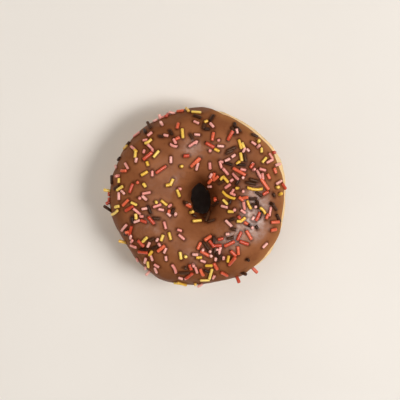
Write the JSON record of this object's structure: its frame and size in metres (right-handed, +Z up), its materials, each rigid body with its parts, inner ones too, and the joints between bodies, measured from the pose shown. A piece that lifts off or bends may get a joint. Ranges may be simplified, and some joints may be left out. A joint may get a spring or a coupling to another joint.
{
  "type": "iced ring doughnut with sugar strands",
  "caption": "Raised ring doughnut half coated in chocolate icing, with sugar strands in red, pink, yellow and dark brown scattered over it.",
  "frame": {"origin": "under the middle of the ring, on the surface that the doughnut rests on", "axes": "+Z up through the hole; +X towards the side where the dough shows beyond the icing"},
  "size_m": [0.0927, 0.0935, 0.0371],
  "materials": {
    "fried_dough": "soft fried crust, golden brown with a paler band round the waist",
    "milk_chocolate_icing": "set milk chocolate icing, half gloss"
  },
  "bodies": {
    "root": {"dough_ring": "fried_dough", "chocolate_icing": "milk_chocolate_icing"}
  },
  "joints": []
}
